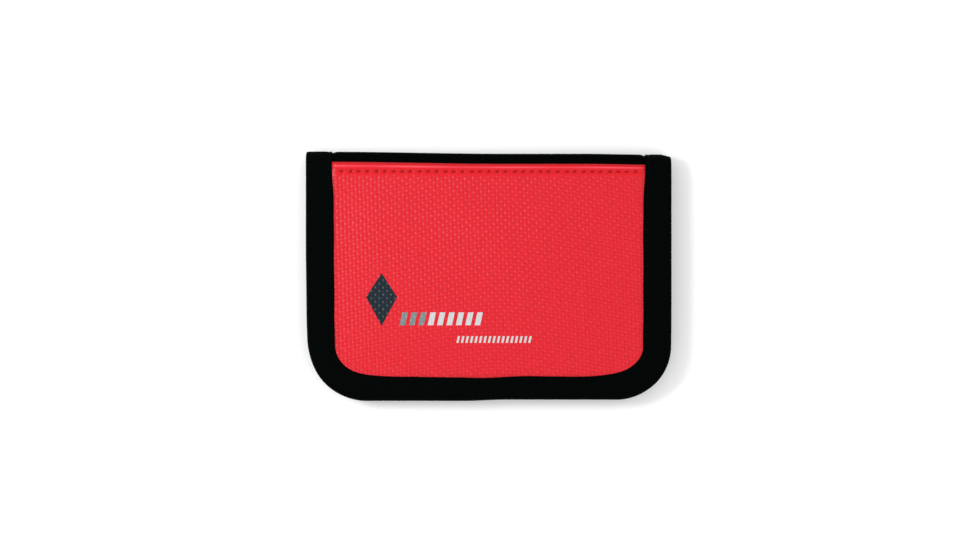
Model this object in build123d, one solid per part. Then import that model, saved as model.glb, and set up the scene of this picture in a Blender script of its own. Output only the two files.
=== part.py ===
"""A bifold hook-and-loop sports wallet, lying closed on its back leaf.

Frame: +X along the width, +Y towards the spine, +Z up through the closed wallet.
The origin is the centre of the footprint, on the surface that the wallet lies on.
Lengths are in millimetres.

Each leaf is a stack of cloth layers held in a folded edge binding. A layer's place in the
stack is its level: its depth below the leaf's own outer face. The back leaf's levels run
up from the ground, and the front leaf is built the same way and then turned over.
"""

from build123d import *
import os
from math import pi

# --- Driving dimensions -------------------------------------------------------------
width = 125.0
height = 84.8
thickness = 8.4

corner_left = 21.0
corner_right = 19.0

# Edge binding: a grosgrain tape folded over the edge of the leaf.
tape = 0.5
side_band = 9.7
bottom_band = 8.2
band_corner = 11.0
seam_inset = 1.6

# Cloth thicknesses.
coated_cloth = 0.6
base_cloth = 0.4
lining_cloth = 0.3
pocket_cloth = 0.3
thread_width = 0.5
thread_height = 0.2
groove_width = 0.7
groove_depth = 0.25

# --- Levels, from a leaf's outer face inwards -----------------------------------------
panel_level = tape
shell_level = panel_level + coated_cloth
lining_level = shell_level + base_cloth
pocket_level = lining_level + lining_cloth
pocket_count = 3
pocket_stack = pocket_level + pocket_count * pocket_cloth
coin_depth = 1.0
face_level = pocket_level + coin_depth
face_cloth = 0.4
face_stack = face_level + face_cloth
middle = thickness / 2

# --- Spine ----------------------------------------------------------------------------
spine_radius = middle - shell_level
spine_y = height / 2 - spine_radius - tape
spine_half_angle = 80.0
free_y = -height / 2

# --- Hems and seams ---------------------------------------------------------------------
panel_hem = 7.0
panel_hem_level = 0.1
panel_seam = 2.9
lining_edge = width / 2 - side_band - 0.4
lining_hem = 6.4
pocket_hem = 7.0
pocket_mouths = (25.5, 15.5, 6.0)
pocket_seam = 2.2
trim_width = 4.0

# --- Hook and loop closure ----------------------------------------------------------------
closure_left = -47.0
closure_right = 44.0
closure_low = free_y + bottom_band + 1.4
closure_high = closure_low + 16.0
closure_base = 0.6
selvedge = 1.4
closure_seam = 0.7

# --- Zip ------------------------------------------------------------------------------------
zip_y = 31.7
zip_channel = 0.8
zip_tape = 0.3
zip_tape_width = 6.6
zip_tape_fold = 1.6
tape_level = face_level - zip_tape
coil_height = 1.1
coil_rail = 0.8
coil_reach = 2.0
tooth_pitch = 1.6
tooth_length = 0.9
coil_left = -48.0
coil_right = 34.8
stop_length = 1.6
face_mouth = zip_y - 3.1
face_hem = 4.5

# --- Zip slider, at the closed end of its travel ----------------------------------------------
slider_x = -42.0
slider_length = 8.6
slider_width = 6.4
slider_nose = 4.6
plate = 0.55
plate_gap = 0.05
post_width = 0.5
post_length = 2.6
bail_height = 1.05
tab_length = 11.0
tab_width = 5.2
tab_thickness = 0.8
tab_hole = 1.3


def outline(side, bottom, inset_radius=None):
    """The leaf's outline, set in from its sides and free edge, with rounded free corners."""
    half = width / 2 - side
    low = free_y + bottom
    radii = (corner_left - side, corner_right - side)
    if inset_radius is not None:
        radii = (inset_radius, inset_radius)
    face = Polygon((-half, spine_y), (-half, low), (half, low), (half, spine_y), align=None)
    for x, radius in zip((-half, half), radii):
        corner = face.vertices().sort_by_distance((x, low, 0))[0]
        face = fillet(corner, radius)
    return face


def rectangle(x0, x1, y0, y1):
    return Pos((x0 + x1) / 2, (y0 + y1) / 2) * Rectangle(x1 - x0, y1 - y0)


def slab(face, low, high):
    """A face made solid between two levels."""
    return Pos(0, 0, low) * extrude(face, high - low)


def band_ring(near, far):
    """The strip of the binding between two distances out from its inner edge."""
    inner = outline(side_band - near, bottom_band - near, band_corner + near)
    outer = outline(side_band - far, bottom_band - far, band_corner + far)
    return outer - inner


def seam_ring(inset, strip):
    return band_ring(inset - strip / 2, inset + strip / 2)


def turned(part):
    """A leaf part moved from the back leaf's place to the front leaf's."""
    return Pos(0, 0, thickness) * mirror(part, about=Plane.XY)


# --- Pieces that both leaves have ----------------------------------------------------------------
def coated_panel():
    """The coated outer panel, with its folded hem beside the spine and the hem's seam groove."""
    inside = width / 2 - side_band - 0.3
    panel = slab(outline(tape, tape), panel_level, shell_level)
    hem = rectangle(-inside, inside, spine_y - panel_hem, spine_y)
    panel += slab(hem, panel_hem_level, shell_level)
    middle_y = spine_y - panel_seam
    groove = rectangle(-inside, inside, middle_y - groove_width / 2, middle_y + groove_width / 2)
    return panel - slab(groove, panel_hem_level, panel_hem_level + groove_depth)


def panel_thread():
    inside = width / 2 - side_band - 0.8
    middle_y = spine_y - panel_seam
    line = rectangle(-inside, inside, middle_y - thread_width / 2, middle_y + thread_width / 2)
    top = panel_hem_level + groove_depth
    return slab(line, top - thread_height, top)


def shell():
    return slab(outline(tape, tape), shell_level, lining_level)


def lining(stack):
    """The note compartment's inner wall. Its free edge wraps over the pockets' edges."""
    sheet = outline(tape, tape) & rectangle(-width, lining_edge, -height, height)
    edge = sheet & rectangle(lining_edge - lining_cloth, lining_edge, -height, height)
    hem = sheet & rectangle(lining_edge - lining_hem, lining_edge, -height, height)
    hem &= rectangle(-width, width, free_y + bottom_band + 0.2, spine_y)
    part = slab(sheet, lining_level, pocket_level)
    part += slab(edge & hem, pocket_level, stack + lining_cloth)
    return part + slab(hem, stack, stack + lining_cloth)


def lining_thread(stack):
    x = lining_edge - lining_hem + 1.2
    line = rectangle(x, x + thread_width, closure_high + 1.0, spine_y - 1.0)
    top = stack + lining_cloth
    return slab(line, top, top + thread_height)


def edge_binding(stack):
    """The folded binding. It holds the whole stack, except along the note compartment's
    mouth, where it holds only the outer cloths."""
    step = lining_edge
    whole = outline(0, 0) - outline(side_band, bottom_band, band_corner)
    rim = outline(0, 0) - outline(tape, tape)
    deep = rectangle(-width, step + tape, -height, height)
    shallow = rectangle(step + tape, width, -height, height)
    riser = rectangle(step, step + tape, -height, free_y + bottom_band)
    part = slab(whole, 0, tape) + slab(rim & shallow, 0, lining_level + tape)
    part += slab(rim & deep, 0, stack + tape)
    part += slab(whole & shallow, lining_level, lining_level + tape)
    inner = whole & deep
    inner -= rectangle(0, width, free_y + bottom_band, spine_y)
    part += slab(inner, stack, stack + tape)
    part += slab(whole & riser, lining_level, stack + tape)
    part -= slab(seam_ring(seam_inset, groove_width), 0, groove_depth)
    return part


def binding_thread(stack):
    """The seam that closes the binding: a line on each face of the tape."""
    line = seam_ring(seam_inset, thread_width)
    outer = slab(line, groove_depth - thread_height, groove_depth)
    mouth_side = line & rectangle(lining_edge + tape + 0.2, width, -height, height)
    rest = line & rectangle(-width, lining_edge - 0.2, -height, free_y + bottom_band)
    rest += line & rectangle(-width, 0, -height, height)
    shallow = lining_level + tape
    deep = stack + tape
    inner = [slab(mouth_side, shallow, shallow + thread_height)]
    inner.append(slab(rest, deep, deep + thread_height))
    return Compound(children=[outer] + [s for part in inner for s in part.solids()])


# --- Inside of the back leaf: card pockets and the loop tape ----------------------------------------
def card_pocket(index):
    """A tiered pocket, open towards the spine. All share the seam beside the loop tape."""
    low = pocket_level + index * pocket_cloth
    mouth = pocket_mouths[index]
    sheet = outline(tape, tape) & rectangle(-width, lining_edge - lining_cloth, -height, mouth)
    pocket = slab(sheet, low, low + pocket_cloth)
    if index == pocket_count - 1:
        return pocket
    inside = width / 2 - side_band - 0.3
    hem = rectangle(-inside, lining_edge - lining_hem - 0.3, mouth - pocket_hem, mouth)
    return pocket + slab(hem, low, low + 2 * pocket_cloth)


def window_trim():
    """The woven trim along the window pocket's mouth."""
    inside = width / 2 - side_band - 0.3
    mouth = pocket_mouths[-1]
    strip = rectangle(-inside, lining_edge - lining_hem - 0.3, mouth - trim_width, mouth)
    return slab(strip, pocket_stack, pocket_stack + tape)


def pocket_threads():
    lines = []
    inside = width / 2 - side_band - 0.8
    for index, mouth in enumerate(pocket_mouths):
        is_window = index == pocket_count - 1
        top = pocket_stack + tape if is_window else pocket_level + (index + 2) * pocket_cloth
        y = mouth - (trim_width / 2 if is_window else pocket_seam)
        line = rectangle(-inside, lining_edge - lining_hem - 0.8, y, y + thread_width)
        lines.append(slab(line, top, top + thread_height))
    return Compound(children=[s for line in lines for s in line.solids()])


def closure_tape(stack):
    """One half of the closure: a woven base with the hooks or loops inside its selvedges."""
    base = rectangle(closure_left, closure_right, closure_low, closure_high)
    pile = rectangle(
        closure_left + selvedge,
        closure_right - selvedge,
        closure_low + selvedge,
        closure_high - selvedge,
    )
    return slab(base, stack, stack + closure_base) + slab(pile, stack, middle)


def closure_thread(stack):
    inner = closure_seam + thread_width
    ring = rectangle(
        closure_left + closure_seam,
        closure_right - closure_seam,
        closure_low + closure_seam,
        closure_high - closure_seam,
    ) - rectangle(
        closure_left + inner,
        closure_right - inner,
        closure_low + inner,
        closure_high - inner,
    )
    return slab(ring, stack + closure_base, stack + closure_base + thread_height)


# --- Inside of the front leaf: the zipped coin pocket -----------------------------------------------
def coin_face():
    """The coin pocket's face, with turned edges that stand it off the lining."""
    right = lining_edge - lining_cloth
    sheet = outline(tape, tape) & rectangle(-width, right, -height, face_mouth)
    inside = outline(side_band, bottom_band, band_corner)
    inside &= rectangle(-width, right - lining_hem, -height, face_mouth)
    rim = sheet - inside
    rim &= rectangle(-width, width, -height, zip_y - zip_channel / 2 - zip_tape_width - 0.2)
    hem_left = -width / 2 + side_band + 0.3
    hem_right = right - lining_hem - 0.3
    hem = rectangle(hem_left, hem_right, face_mouth - face_hem, face_mouth)
    part = slab(sheet, face_level, face_stack) + slab(rim, pocket_level, face_level)
    return part + slab(hem, face_stack, face_stack + face_cloth)


def coin_thread():
    y = face_mouth - 1.8
    line = rectangle(-width / 2 + side_band + 1.0, lining_edge - lining_hem - 1.0, y, y + thread_width)
    top = face_stack + face_cloth
    return slab(line, top, top + thread_height)


def zip_side(sign):
    """One tape of the zip: sign 1 is beside the spine, -1 beside the coin pocket's face."""
    near = zip_y + sign * zip_channel / 2
    far = near + sign * zip_tape_width
    left = -width / 2 + tape
    right = lining_edge - lining_cloth
    tape_face = rectangle(left, right, min(near, far), max(near, far))
    part = slab(tape_face, tape_level, face_level)
    if sign > 0:
        fold = rectangle(left, right, far - zip_tape_fold, far)
        part += slab(fold, pocket_level, face_level)
    return part


def zip_thread():
    far = zip_y + zip_channel / 2 + zip_tape_width
    y = far - zip_tape_fold / 2
    line = rectangle(-width / 2 + side_band + 1.0, lining_edge - lining_hem - 1.0, y, y + thread_width)
    return slab(line, face_level, face_level + thread_height)


def zip_coil(sign):
    """Half of the coil: a rail sewn to the tape with teeth that reach into the channel's edge."""
    channel = zip_y + sign * zip_channel / 2
    rail = channel + sign * coil_reach
    outer = rail - sign * coil_rail
    comb = rectangle(coil_left, coil_right, min(rail, outer), max(rail, outer))
    shift = 0.0 if sign > 0 else tooth_pitch / 2
    count = int((coil_right - coil_left - shift) / tooth_pitch)
    for index in range(count):
        x = coil_left + shift + index * tooth_pitch
        comb += rectangle(x, x + tooth_length, min(channel, outer), max(channel, outer))
    return slab(comb, face_level, face_level + coil_height)


def top_stops():
    stops = []
    for sign in (1, -1):
        near = zip_y + sign * zip_channel / 2
        far = near + sign * coil_reach
        x = coil_left - stop_length
        clip = rectangle(x, coil_left, min(near, far), max(near, far))
        stops.append(slab(clip, face_level, face_level + coil_height + 0.1))
    return Compound(children=[s for stop in stops for s in stop.solids()])


def bottom_stop():
    half = zip_channel / 2 + coil_reach
    clip = rectangle(coil_right, coil_right + stop_length, zip_y - half, zip_y + half)
    return slab(clip, face_level, face_level + coil_height + 0.1)


def slider_body():
    """Two plates joined by the post that parts the coil, with the pull tab's bail on top."""
    low_plate = tape_level - plate_gap - plate
    high_plate = face_level + coil_height + 0.1
    half = slider_length / 2
    nose = slider_x - half
    tail = slider_x + half
    body = Polygon(
        (nose, zip_y + slider_width / 2),
        (nose, zip_y - slider_width / 2),
        (slider_x, zip_y - slider_width / 2),
        (tail, zip_y - slider_nose / 2),
        (tail, zip_y + slider_nose / 2),
        (slider_x, zip_y + slider_width / 2),
        align=None,
    )
    body = fillet(body.vertices(), 0.6)
    post = rectangle(
        nose + 0.6, nose + 0.6 + post_length, zip_y - post_width / 2, zip_y + post_width / 2
    )
    part = slab(body, low_plate, low_plate + plate) + slab(body, high_plate, high_plate + plate)
    part += slab(post, low_plate, high_plate + plate)
    top = high_plate + plate
    arch = rectangle(slider_x - 2.8, slider_x + 2.8, zip_y - 0.7, zip_y + 0.7)
    window = rectangle(slider_x - 1.9, slider_x + 1.9, zip_y - 0.7, zip_y + 0.7)
    part += slab(arch, top, top + bail_height)
    return part - slab(window, top, top + bail_height - 0.35)


def pull_tab():
    """A flat tab whose small loop passes through the slider's bail."""
    top = face_level + coil_height + 0.1 + plate
    low = top + 0.06
    start = slider_x + 0.35
    loop = rectangle(start, start + 1.1, zip_y - 2.0, zip_y + 2.0)
    sides = rectangle(start, slider_x + 4.0, zip_y - 2.0, zip_y - 1.0)
    sides += rectangle(start, slider_x + 4.0, zip_y + 1.0, zip_y + 2.0)
    grip = rectangle(
        slider_x + 3.2, slider_x + 3.2 + tab_length, zip_y - tab_width / 2, zip_y + tab_width / 2
    )
    grip = fillet(grip.vertices(), 1.2)
    grip -= Pos(slider_x + 3.2 + tab_length - 3.0, zip_y) * Circle(tab_hole)
    part = slab(loop, low, low + 0.55) + slab(sides, low, low + 0.55)
    return part + slab(grip, low, low + tab_thickness)


# --- Spine -------------------------------------------------------------------------------------------
def arc_strip(low_radius, high_radius, x0, x1):
    """A strip of cloth or tape that is curved round the spine."""
    ring = Circle(high_radius) - Circle(low_radius)
    reach = 2 * high_radius
    angle = spine_half_angle
    wedge = Polygon(
        (0, 0),
        (Vector(reach, 0).rotate(Axis.Z, -angle).X, Vector(reach, 0).rotate(Axis.Z, -angle).Y),
        (reach, -reach),
        (reach, reach),
        (Vector(reach, 0).rotate(Axis.Z, angle).X, Vector(reach, 0).rotate(Axis.Z, angle).Y),
        align=None,
    )
    strip = extrude(Plane.YZ * (ring & wedge), x1 - x0)
    return Pos(x0, spine_y, middle) * strip


def spine_shell():
    edge = width / 2 - tape
    return arc_strip(spine_radius - base_cloth, spine_radius, -edge, edge)


def spine_lining():
    outer = spine_radius - base_cloth
    return arc_strip(outer - lining_cloth, outer, -width / 2 + tape, lining_edge)


def spine_binding(sign):
    """The binding where it goes round the spine. The lining is inside it on the left only."""
    edge = width / 2
    band = edge - side_band
    held = base_cloth + (lining_cloth if sign < 0 else 0.0)
    inner = spine_radius - held
    spans = [
        (spine_radius, spine_radius + tape, band, edge),
        (inner - tape, inner, band, edge),
        (inner - tape, spine_radius + tape, edge - tape, edge),
    ]
    part = Part()
    for low_radius, high_radius, near, far in spans:
        x0, x1 = sorted((sign * near, sign * far))
        part += arc_strip(low_radius, high_radius, x0, x1)
    return part


# --- The list of nodes ----------------------------------------------------------------------------------
def make_nodes():
    nodes = {
        "back_panel": coated_panel(),
        "back_panel_thread": panel_thread(),
        "back_shell": shell(),
        "back_lining": lining(pocket_stack),
        "back_lining_thread": lining_thread(pocket_stack),
        "back_edge_binding": edge_binding(pocket_stack),
        "back_binding_thread": binding_thread(pocket_stack),
        "card_pocket_rear": card_pocket(0),
        "card_pocket_middle": card_pocket(1),
        "window_pocket": card_pocket(2),
        "window_pocket_trim": window_trim(),
        "card_pocket_threads": pocket_threads(),
        "loop_tape": closure_tape(pocket_stack),
        "loop_tape_thread": closure_thread(pocket_stack),
        "spine_shell": spine_shell(),
        "spine_lining": spine_lining(),
        "spine_binding_left": spine_binding(-1),
        "spine_binding_right": spine_binding(1),
    }
    front = {
        "front_panel": coated_panel(),
        "front_panel_thread": panel_thread(),
        "front_shell": shell(),
        "front_lining": lining(face_stack),
        "front_lining_thread": lining_thread(face_stack),
        "front_edge_binding": edge_binding(face_stack),
        "front_binding_thread": binding_thread(face_stack),
        "coin_pocket_face": coin_face(),
        "coin_pocket_thread": coin_thread(),
        "zip_tape_upper": zip_side(1),
        "zip_tape_lower": zip_side(-1),
        "zip_tape_thread": zip_thread(),
        "zip_coil_upper": zip_coil(1),
        "zip_coil_lower": zip_coil(-1),
        "zip_top_stops": top_stops(),
        "zip_bottom_stop": bottom_stop(),
        "hook_tape": closure_tape(face_stack),
        "hook_tape_thread": closure_thread(face_stack),
        "zip_slider": slider_body(),
        "zip_pull_tab": pull_tab(),
    }
    nodes.update({name: turned(part) for name, part in front.items()})
    return nodes


def hinge_places():
    """The two fold axes, set so that the spine keeps its length from closed to flat."""
    cloth_radius = spine_radius - base_cloth / 2
    inset = cloth_radius * (1 - pi / 4)
    y = spine_y + cloth_radius - inset
    return y, middle - cloth_radius + inset, middle + cloth_radius - inset


if __name__ == "__main__":
    os.makedirs("parts", exist_ok=True)
    for name, shape in make_nodes().items():
        export_step(shape, os.path.join("parts", name + ".step"))
    fold_y, spine_fold_z, leaf_fold_z = hinge_places()
    print("spine fold axis", fold_y, spine_fold_z, "leaf fold axis", fold_y, leaf_fold_z)
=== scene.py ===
import math

import bmesh
import bpy
import numpy as np
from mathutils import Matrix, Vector


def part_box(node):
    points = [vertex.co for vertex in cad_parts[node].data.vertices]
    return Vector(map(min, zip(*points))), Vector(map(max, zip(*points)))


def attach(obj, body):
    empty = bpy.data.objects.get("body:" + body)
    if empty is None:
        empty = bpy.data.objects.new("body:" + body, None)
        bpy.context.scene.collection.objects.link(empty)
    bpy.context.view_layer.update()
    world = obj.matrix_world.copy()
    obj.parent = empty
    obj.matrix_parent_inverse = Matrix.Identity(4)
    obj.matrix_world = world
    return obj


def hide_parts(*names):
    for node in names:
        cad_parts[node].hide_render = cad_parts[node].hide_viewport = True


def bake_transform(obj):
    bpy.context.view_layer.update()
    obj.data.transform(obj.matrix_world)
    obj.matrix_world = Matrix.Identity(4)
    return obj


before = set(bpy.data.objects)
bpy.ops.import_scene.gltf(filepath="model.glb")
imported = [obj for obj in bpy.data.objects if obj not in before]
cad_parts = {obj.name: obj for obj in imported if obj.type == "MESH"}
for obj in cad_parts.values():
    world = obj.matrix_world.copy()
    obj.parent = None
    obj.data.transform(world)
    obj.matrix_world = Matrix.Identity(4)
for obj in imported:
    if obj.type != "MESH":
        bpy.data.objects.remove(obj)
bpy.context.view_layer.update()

# --------------------
# The CAD's numbers, in millimetres. Everything below is built from them, in the row frame.
# A level is a depth below a leaf's own outer face.


def box_mm(node):
    low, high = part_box(node)
    return np.array(low) * 1000, np.array(high) * 1000


bind_low, bind_high = box_mm("front_edge_binding")
HALF, FREE_Y, SPINE_Y, TOP = bind_high[0], bind_low[1], bind_high[1], bind_high[2]
MID = TOP / 2
BACK_FACE = box_mm("back_edge_binding")[1][2]
FRONT_FACE = TOP - bind_low[2]
SHELL = TOP - box_mm("front_shell")[1][2]
LINING = TOP - box_mm("front_lining")[1][2]
POCKET = box_mm("card_pocket_rear")[0][2]
SEAM_Y = float(np.mean([b[1] for b in box_mm("front_panel_thread")]))
MOUTH_X = box_mm("back_lining")[1][0]
CLOSURE_Y = box_mm("loop_tape")[1][1]
STACK = POCKET + 0.9  # the upper face of the three pockets together
HOOK_FACE = TOP - box_mm("hook_tape")[1][2]
# The binding's width at the sides and at the free edge, and the corners' radii, left and right.
BAND, LOW_BAND = 9.7, 8.2
CORNERS = (21.0, 19.0)
INNER_CORNERS = ((15.0, 11.0), (15.0, 10.5))
IN_X, IN_Y = HALF - BAND, FREE_Y + LOW_BAND
# The pitches of the tape's ribs and of the seams, and the tape's thickness.
RIB, STITCH, TAPE = 0.92, 2.95, 0.44
# How far inside the outline the panels, the body cloths and the pockets end.
PANEL_TUCK, CLOTH_TUCK, POCKET_TUCK = 4.6, 0.9, 2.4


def smooth(a, b, x):
    t = np.clip((np.asarray(x, float) - a) / (b - a), 0, 1)
    return t * t * (3 - 2 * t)


def hill(x, centre, width):
    return np.exp(-(((np.asarray(x, float) - centre) / width) ** 2))


def settle(p):
    """The hand-sewn wallet's small unevenness, the same for every layer so that they stay in order.
    It fades out round the zip, whose slider runs straight."""
    p = np.array(p, float)
    x, y = p[..., 0].copy(), p[..., 1].copy()
    right = smooth(-8, 6, x)
    dx = 0.4 * hill(x, -62, 11) * hill(y, -26, 8) - 0.1 * hill(x, 62, 11) * hill(y, -25, 8)
    dx += 0.15 * hill(x, -49, 7) * hill(y, -41, 6) - 0.1 * hill(x, 52, 7) * hill(y, -41, 6)
    dx += 0.22 * smooth(12, -14, y) * smooth(-40, -58, x)
    dy = 0.32 * right * smooth(-28, -40, y) - 0.1 * (1 - right) * smooth(-28, -40, y)
    dy -= 0.12 * hill(np.abs(x), 52, 9) * hill(y, -38, 7)
    top = smooth(34.9, 38.8, y)
    slope = 0.45 - 0.7 * smooth(-55, 6, x) - 0.32 * smooth(32, 58, x)
    dy += top * (slope - 0.75 * smooth(59.0, 62.6, x))
    calm = 1 - smooth(12, 23, y)
    dz = calm * (0.27 + 0.16 * np.sin(x / 17 + 0.6) + 0.1 * np.sin(x / 8.3 + y / 19))
    p[..., 0] += dx
    p[..., 1] += dy
    p[..., 2] += dz
    return p


def place(leaf, x, y, level):
    """Points at (x, y) and a level of a leaf."""
    x, y, level = np.broadcast_arrays(x, y, level)
    z = level if leaf == "back" else TOP - level
    return settle(np.stack([x, y, z], -1))


def round_spine(leaf, x, level, angle):
    """Points at a level of the cloth where it goes round the spine: angle 0 is its outermost
    line, and a quarter turn is where it meets the leaf."""
    x, level, angle = np.broadcast_arrays(x, level, angle)
    r = MID - level
    side = -1 if leaf == "back" else 1
    return settle(np.stack([x, SPINE_Y + r * np.cos(angle), MID + side * r * np.sin(angle)], -1))


# --------------------
# Meshes


def outward(me):
    """Turns every face of a closed mesh outwards."""
    bm = bmesh.new()
    bm.from_mesh(me)
    bmesh.ops.recalc_face_normals(bm, faces=bm.faces)
    bm.to_mesh(me)
    bm.free()


def make_mesh(name, points, faces, material, uv, shade=None, sharp=42):
    """A mesh object from points in millimetres. uv is one pair a point, in centimetres of cloth;
    shade is one number a point, painted shade where above 0 and a painted highlight where below 0, and edges
    steeper than sharp degrees stay sharp."""
    me = bpy.data.meshes.new(name)
    pts = np.asarray(points, float).reshape(-1, 3) * 0.001
    me.from_pydata(pts.tolist(), [], faces if isinstance(faces, list) else faces.tolist())
    outward(me)
    layer = me.uv_layers.new(name="cloth")
    loops = np.empty(len(me.loops), np.int32)
    me.loops.foreach_get("vertex_index", loops)
    layer.data.foreach_set("uv", uv[loops].astype(np.float32).ravel())
    # The shade attribute holds painted shade (above 0) and a painted highlight (below 0) for the red cloth's
    # colour.
    wear_and_painted_light = me.attributes.new("shade", "FLOAT", "POINT")
    values = np.zeros(len(pts)) if shade is None else np.asarray(shade, float).ravel()
    wear_and_painted_light.data.foreach_set("value", values.astype(np.float32))
    me.polygons.foreach_set("use_smooth", np.ones(len(me.polygons), bool))
    me.set_sharp_from_angle(angle=math.radians(sharp))
    me.materials.append(material)
    me.update()
    ob = bpy.data.objects.new(name, me)
    bpy.context.collection.objects.link(ob)
    return ob


def grid_faces(nu, nv, wrap=False):
    """Quads over a grid of points. With wrap, its second direction closes on itself."""
    i, j = np.meshgrid(np.arange(nu - 1), np.arange(nv if wrap else nv - 1), indexing="ij")
    k = (j + 1) % nv
    return np.stack([i * nv + j, (i + 1) * nv + j, (i + 1) * nv + k, i * nv + k], -1).reshape(-1, 4)


def slab_faces(nu, nv):
    """The faces of two matching grids of points, one after the other, and of the wall between."""
    n = nu * nv
    idx = np.arange(n).reshape(nu, nv)
    rim = np.concatenate([idx[:, 0], idx[-1, 1:], idx[-2::-1, -1], idx[0, -2:0:-1]])
    after = np.roll(rim, -1)
    quads = grid_faces(nu, nv)
    return np.concatenate([quads, quads[:, ::-1] + n, np.stack([after, after + n, rim + n, rim], -1)])


def cloth_uv(points):
    """Lengths along a grid's two directions, in centimetres."""
    du = np.linalg.norm(np.diff(points, axis=0), axis=-1)
    dv = np.linalg.norm(np.diff(points, axis=1), axis=-1)
    u = np.concatenate([np.zeros((1, points.shape[1])), np.cumsum(du, 0)], 0)
    v = np.concatenate([np.zeros((points.shape[0], 1)), np.cumsum(dv, 1)], 1)
    return np.stack([u, v], -1) / 10


def panel_uv(points):
    """The same, but with threads that run straight across the wallet."""
    uv = cloth_uv(points)
    uv[..., 0] = points[..., 0] / 10
    return uv


def slab(name, outer, inner, material, uv=None, shade=None, sharp=60):
    """A closed sheet between two matching grids of points."""
    uv = cloth_uv(outer) if uv is None else uv
    both = np.concatenate([outer.reshape(-1, 3), inner.reshape(-1, 3)])
    uvs = np.concatenate([uv.reshape(-1, 2)] * 2)
    shades = None if shade is None else np.concatenate([np.ravel(shade)] * 2)
    return make_mesh(name, both, slab_faces(*outer.shape[:2]), material, uvs, shades, sharp)


def joined(name, parts, material, sharp=42):
    """Several (points, faces) made one mesh."""
    points, faces, at = [], [], 0
    for p, f in parts:
        points.append(p.reshape(-1, 3))
        faces += [[i + at for i in face] for face in f]
        at += len(points[-1])
    p = np.concatenate(points)
    return make_mesh(name, p, faces, material, p[:, :2] / 10, None, sharp)


def tube(rings):
    """A closed tube through rings of points."""
    n, sides = rings.shape[:2]
    faces = grid_faces(n, sides, wrap=True).tolist()
    faces += [list(range(sides)), list(range((n - 1) * sides, n * sides))]
    return rings, faces


def follow(ob, leaf, *nodes):
    """A piece that lies on one leaf."""
    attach(ob, leaf + "_leaf")
    if nodes:
        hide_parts(*nodes)


def fold_with_spine(ob, leaf, *nodes):
    """A piece that runs from a leaf round its half of the spine."""
    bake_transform(ob)
    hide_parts(*nodes)


# --------------------
# Materials


class Nodes:
    """A short way to write a material's nodes. Values are numbers, colours or sockets."""

    def __init__(self, name):
        self.mat = bpy.data.materials.new(name)
        self.mat.use_nodes = True
        self.tree = self.mat.node_tree
        self.bsdf = self.tree.nodes["Principled BSDF"]

    def new(self, kind):
        return self.tree.nodes.new("ShaderNode" + kind)

    def put(self, socket, value):
        if isinstance(value, bpy.types.NodeSocket):
            self.tree.links.new(value, socket)
        else:
            socket.default_value = value

    def math(self, op, a, b=0.0, c=0.0):
        n = self.new("Math")
        n.operation = op
        for i, v in enumerate((a, b, c)):
            self.put(n.inputs[i], v)
        return n.outputs[0]

    def times(self, a, b):
        return self.math("MULTIPLY", a, b)

    def madd(self, a, b, c):
        return self.math("MULTIPLY_ADD", a, b, c)

    def uv(self):
        n = self.new("UVMap")
        n.uv_map = "cloth"
        s = self.new("SeparateXYZ")
        self.tree.links.new(n.outputs[0], s.inputs[0])
        return s.outputs[0], s.outputs[1], n.outputs[0]

    def spot(self):
        """The place in the row frame."""
        return self.new("TexCoord").outputs["Object"]

    def noise(self, where, scale, detail=2.0, rough=0.5):
        n = self.new("TexNoise")
        self.put(n.inputs["Vector"], where)
        n.inputs["Scale"].default_value = scale
        n.inputs["Detail"].default_value = detail
        n.inputs["Roughness"].default_value = rough
        return n.outputs["Fac"]

    def ramp(self, value, *stops):
        n = self.new("ValToRGB")
        while len(n.color_ramp.elements) < len(stops):
            n.color_ramp.elements.new(0.5)
        for e, (at, colour) in zip(n.color_ramp.elements, stops):
            e.position = at
            e.color = (*colour, 1)
        self.put(n.inputs[0], value)
        return n.outputs[0]

    def mix(self, fac, a, b):
        n = self.new("Mix")
        n.data_type = "RGBA"
        self.put(n.inputs[0], fac)
        for socket, v in ((n.inputs[6], a), (n.inputs[7], b)):
            self.put(socket, (*v, 1) if isinstance(v, tuple) else v)
        return n.outputs[2]

    def attribute(self, name="shade"):
        n = self.new("Attribute")
        n.attribute_name = name
        return n.outputs["Fac"]

    def bump(self, height, distance, strength=1.0, normal=None):
        n = self.new("Bump")
        n.inputs["Strength"].default_value = strength
        n.inputs["Distance"].default_value = distance * 0.001
        self.put(n.inputs["Height"], height)
        if normal is not None:
            self.tree.links.new(normal, n.inputs["Normal"])
        return n.outputs[0]

    def finish(self, colour, roughness, normal=None, **values):
        self.put(self.bsdf.inputs["Base Color"], colour)
        self.put(self.bsdf.inputs["Roughness"], roughness)
        if normal is not None:
            self.tree.links.new(normal, self.bsdf.inputs["Normal"])
        for k, v in values.items():
            self.bsdf.inputs[k.replace("_", " ")].default_value = v
        return self.mat

    def weave(self, u, v, warp, weft, lead=0.3):
        """A plain weave's height from 0 to 1. warp and weft are its thread pitches in millimetres."""
        a = self.times(u, 10 * math.pi / warp)
        b = self.times(v, 10 * math.pi / weft)
        ca, cb = self.math("COSINE", a), self.math("COSINE", b)
        over = self.times(ca, cb)
        wa = self.math("POWER", self.math("ABSOLUTE", ca), 0.8)
        wb = self.math("POWER", self.math("ABSOLUTE", cb), 0.8)
        up = self.times(wa, self.madd(over, lead, 1 - lead))
        down = self.times(wb, self.madd(over, -0.45, 0.42))
        return self.math("MAXIMUM", up, down)


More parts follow.
